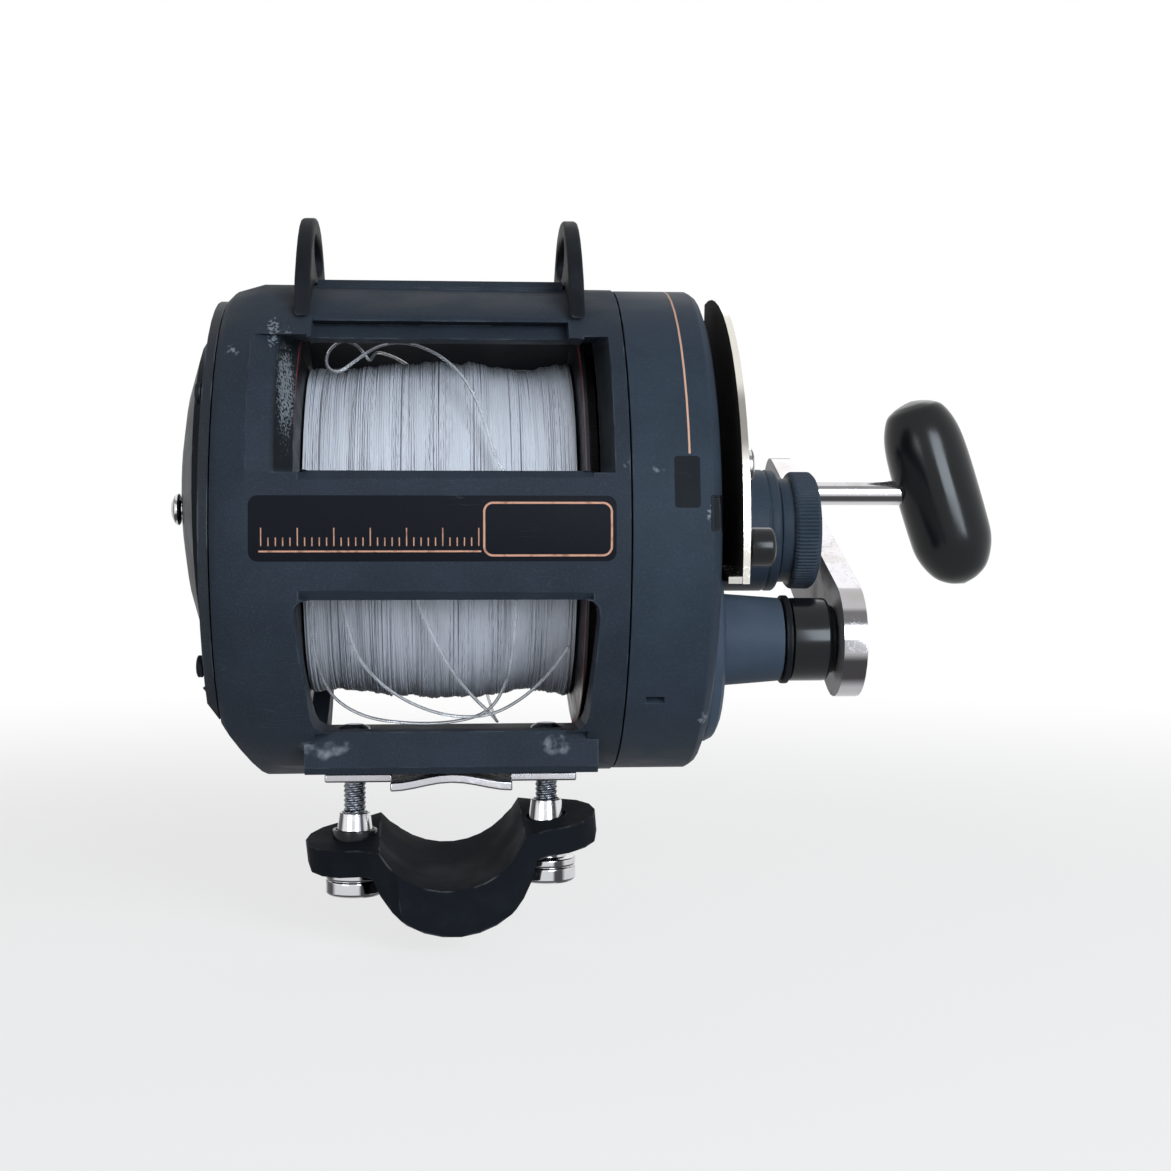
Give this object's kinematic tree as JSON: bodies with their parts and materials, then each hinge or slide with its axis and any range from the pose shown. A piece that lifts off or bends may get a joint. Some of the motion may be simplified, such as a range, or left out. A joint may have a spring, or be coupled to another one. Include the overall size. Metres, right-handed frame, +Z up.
{
  "type": "lever drag fishing reel",
  "caption": "Lever drag trolling reel with a one-piece frame, a spool of monofilament, a crank with a torpedo grip, two harness lugs and a rod clamp.",
  "frame": {"origin": "the rod seat: on the underside of the foot's wings, under the middle of the spool", "axes": "+X along the spool axis towards the crank, +Y along the rod towards its tip, +Z up from the rod seat to the harness lugs"},
  "size_m": [0.1729, 0.1125, 0.1341],
  "materials": {
    "graphite": "satin slate-grey graphite composite, scuffed",
    "graphite_dark": "darker satin graphite composite",
    "gloss_black": "polished black plastic",
    "satin_black": "satin black coated metal, worn at its edges",
    "chrome": "chrome plate",
    "zinc": "zinc plate",
    "steel": "machined stainless steel",
    "brass": "machined brass",
    "black_alloy": "black anodised aluminium",
    "line": "pale clear monofilament",
    "fibre": "woven fibre friction disc"
  },
  "bodies": {
    "reel_body": {"frame": "graphite", "left_side_cover": "graphite_dark", "cover_screw_1": "steel", "cover_screw_2": "steel", "cover_screw_3": "steel", "cover_screw_4": "steel", "bridge_plate": "black_alloy", "pinion_bearing": "steel", "inner_bush": "brass", "outer_bush": "brass", "pawl_pin": "steel", "side_housing": "graphite", "gear_cover": "graphite", "housing_screw_1": "steel", "housing_screw_2": "steel", "housing_screw_3": "steel", "harness_lug_left": "satin_black", "harness_lug_right": "satin_black", "reel_foot": "chrome", "foot_spacer_left": "satin_black", "foot_spacer_right": "satin_black", "clamp_stud_left": "zinc", "clamp_stud_right": "zinc"},
    "shaft": {"spool_shaft": "steel", "drag_spring": "steel"},
    "line_spool": {"spool": "black_alloy", "spool_bearing_left": "steel", "spool_bearing_right": "steel", "drag_disc": "fibre", "line_core": "line", "line_winding": "line", "loose_line": "line", "click_gear": "brass"},
    "preset": {"preset_knob": "graphite_dark"},
    "drive_plate": {"pressure_plate": "steel", "pinion_gear": "steel"},
    "crank": {"gear_shaft": "steel", "main_gear": "brass", "ratchet_wheel": "steel", "handle_washer": "satin_black", "handle_collar": "gloss_black", "handle_arm": "chrome", "handle_nut": "chrome", "grip_shaft": "chrome"},
    "grip": {"handle_grip": "gloss_black"},
    "lever": {"drag_lever": "chrome", "lever_knob": "gloss_black", "lever_rivet": "chrome", "drag_cam": "steel", "drag_cap": "graphite_dark"},
    "clicker": {"click_button": "chrome", "click_tongue": "steel", "click_spring": "steel"},
    "pawl": {"anti_reverse_pawl": "steel"},
    "clamp": {"rod_clamp": "satin_black"},
    "nut_left": {"clamp_nut_left": "chrome"},
    "nut_right": {"clamp_nut_right": "chrome"}
  },
  "joints": [
    {"name": "drag_lever", "type": "hinge", "parent": "reel_body", "child": "lever", "pos_m": [0.0519, 0, 0.047], "axis": [-1, 0, 0], "range_deg": [0, 120]},
    {"name": "drag_shift", "type": "slide", "parent": "reel_body", "child": "shaft", "axis": [1, 0, 0], "range_m": [0, 0.0006]},
    {"name": "spool_spin", "type": "hinge", "parent": "shaft", "child": "line_spool", "pos_m": [0, 0, 0.047], "axis": [1, 0, 0], "continuous": true},
    {"name": "preset_turn", "type": "hinge", "parent": "shaft", "child": "preset", "pos_m": [0.0692, 0, 0.047], "axis": [1, 0, 0], "range_deg": [-270, 270]},
    {"name": "handle_turn", "type": "hinge", "parent": "reel_body", "child": "crank", "pos_m": [0.0416, -0.01067, 0.0265], "axis": [1, 0, 0], "continuous": true},
    {"name": "pinion_spin", "type": "hinge", "parent": "reel_body", "child": "drive_plate", "pos_m": [0.0416, 0, 0.047], "axis": [1, 0, 0], "continuous": true},
    {"name": "grip_spin", "type": "hinge", "parent": "crank", "child": "grip", "pos_m": [0.1123, 0.05744, 0.05541], "axis": [1, 0, 0], "continuous": true},
    {"name": "click_slide", "type": "slide", "parent": "reel_body", "child": "clicker", "axis": [0, 0.9598, -0.2806], "range_m": [0, 0.0026]},
    {"name": "pawl_swing", "type": "hinge", "parent": "reel_body", "child": "pawl", "pos_m": [0.03705, 0.00436, 0.02102], "axis": [1, 0, 0], "range_deg": [-5, 10]},
    {"name": "nut_left_turn", "type": "hinge", "parent": "clamp", "child": "nut_left", "pos_m": [-0.0164, 0, -0.015], "axis": [0, 0, 1], "range_deg": [-1440, 1260]},
    {"name": "nut_right_turn", "type": "hinge", "parent": "clamp", "child": "nut_right", "pos_m": [0.0202, 0, -0.013], "axis": [0, 0, 1], "range_deg": [-1440, 1260]},
    {"name": "clamp_slide", "type": "slide", "parent": "reel_body", "child": "clamp", "axis": [0, 0, 1], "range_m": [-0.004, 0.0035]}
  ],
  "couplings": [
    {"joint": "drag_lever", "follows": "drag_shift", "rad_per_m": 3490.7},
    {"joint": "pinion_spin", "follows": "handle_turn", "ratio": -3.6},
    {"joint": "nut_left_turn", "follows": "clamp_slide", "rad_per_m": 6283.2},
    {"joint": "nut_right_turn", "follows": "clamp_slide", "rad_per_m": 6283.2}
  ]
}
